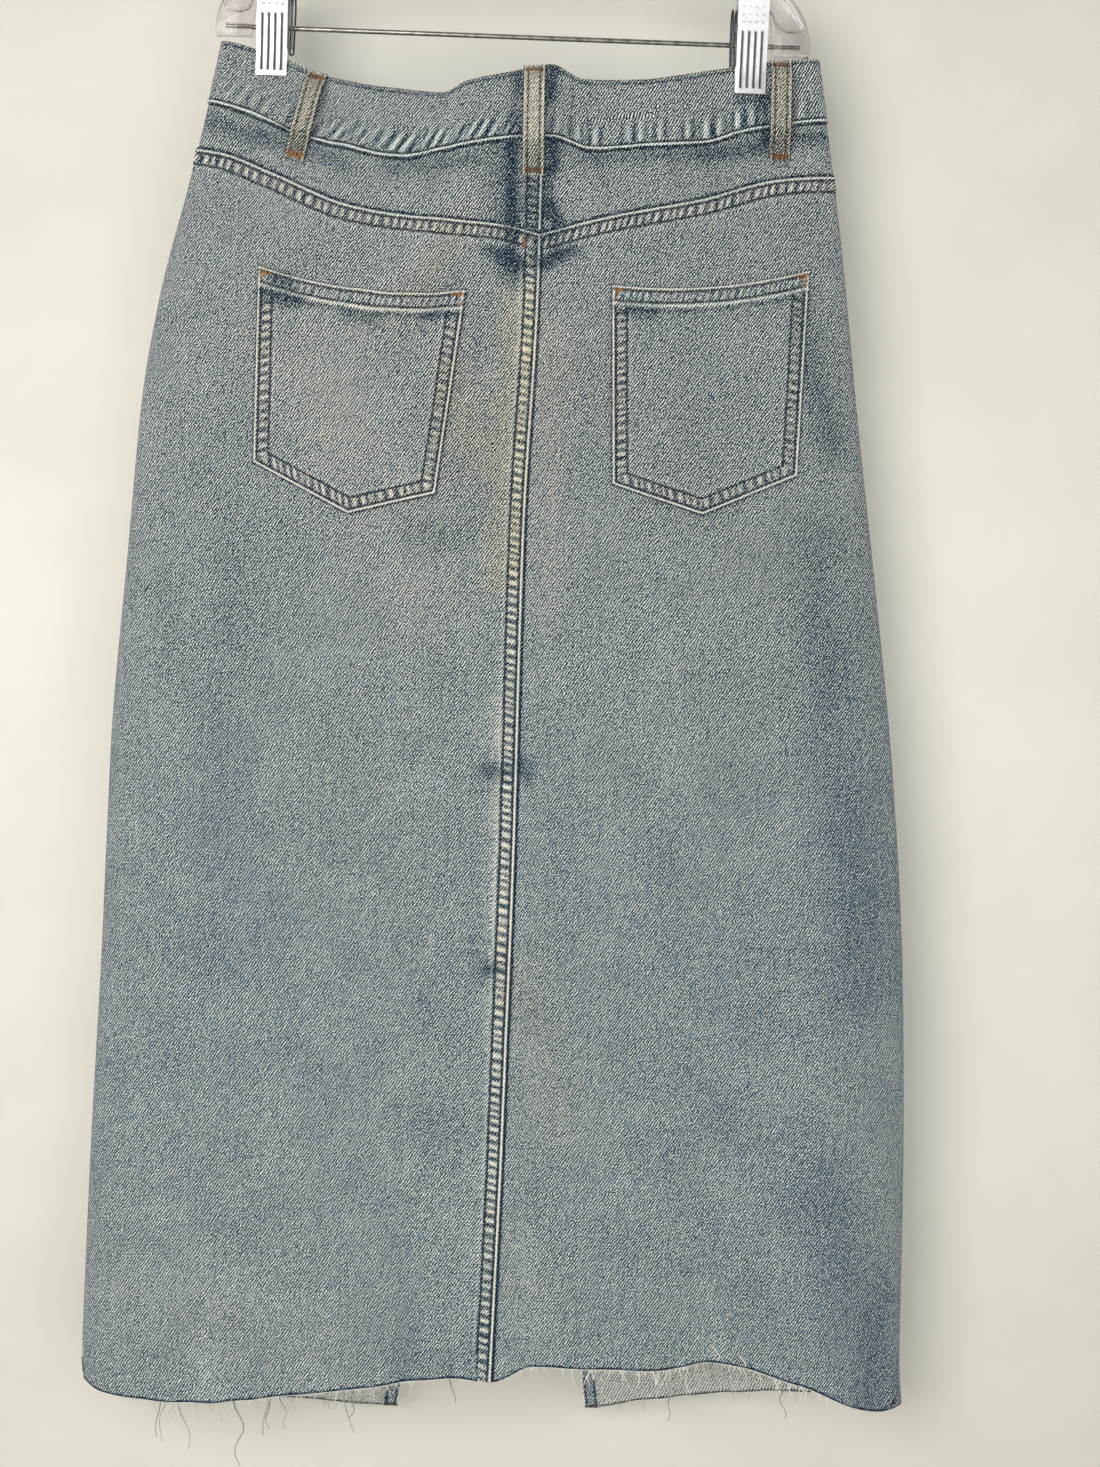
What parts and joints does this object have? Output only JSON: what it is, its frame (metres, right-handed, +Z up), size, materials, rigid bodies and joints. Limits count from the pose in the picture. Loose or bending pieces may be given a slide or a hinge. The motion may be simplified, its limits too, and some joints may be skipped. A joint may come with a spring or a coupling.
{
  "type": "denim midi skirt on a clip hanger",
  "caption": "Worn light-wash denim midi skirt with a raw frayed hem, back patch pockets and a front slit, hung by its waistband from a clear hanger with steel clips.",
  "frame": {"origin": "the seat of the hanger's hook, where it rests on a rail", "axes": "+Z up, along the hanging skirt; +X towards the wearer's right side; +Y out of the front of the skirt, so the back with its pockets faces -Y"},
  "size_m": [0.4914, 0.0711, 0.966],
  "materials": {
    "washed_denim": "light-wash cotton twill, worn pale at the seams and edges",
    "hem_threads": "loose off-white cotton yarn",
    "zip_tape_cloth": "woven cotton tape with metal teeth",
    "aged_brass": "tarnished",
    "bright_steel": "bright nickel plate",
    "spring_wire": "dark spring steel",
    "clear_plastic": "clear moulded polystyrene"
  },
  "bodies": {
    "root": {"waistband": "washed_denim", "yoke_left": "washed_denim", "yoke_right": "washed_denim", "back_left": "washed_denim", "back_right": "washed_denim", "front_left": "washed_denim", "front_right": "washed_denim", "pocket_left": "washed_denim", "pocket_right": "washed_denim", "belt_loop_back_left": "washed_denim", "belt_loop_back_centre": "washed_denim", "belt_loop_back_right": "washed_denim", "belt_loop_front_left": "washed_denim", "belt_loop_front_right": "washed_denim", "fringe_back_left": "hem_threads", "fringe_back_right": "hem_threads", "fringe_front_left": "hem_threads", "fringe_front_right": "hem_threads", "zip_tape": "zip_tape_cloth", "zip_slider": "aged_brass", "button": "aged_brass", "hook": "bright_steel", "bar": "bright_steel", "clip_left_jaw_back": "bright_steel", "clip_left_jaw_front": "bright_steel", "clip_right_jaw_back": "bright_steel", "clip_right_jaw_front": "bright_steel", "clip_left_spring": "spring_wire", "clip_right_spring": "spring_wire", "hanger_body": "clear_plastic"}
  },
  "joints": []
}
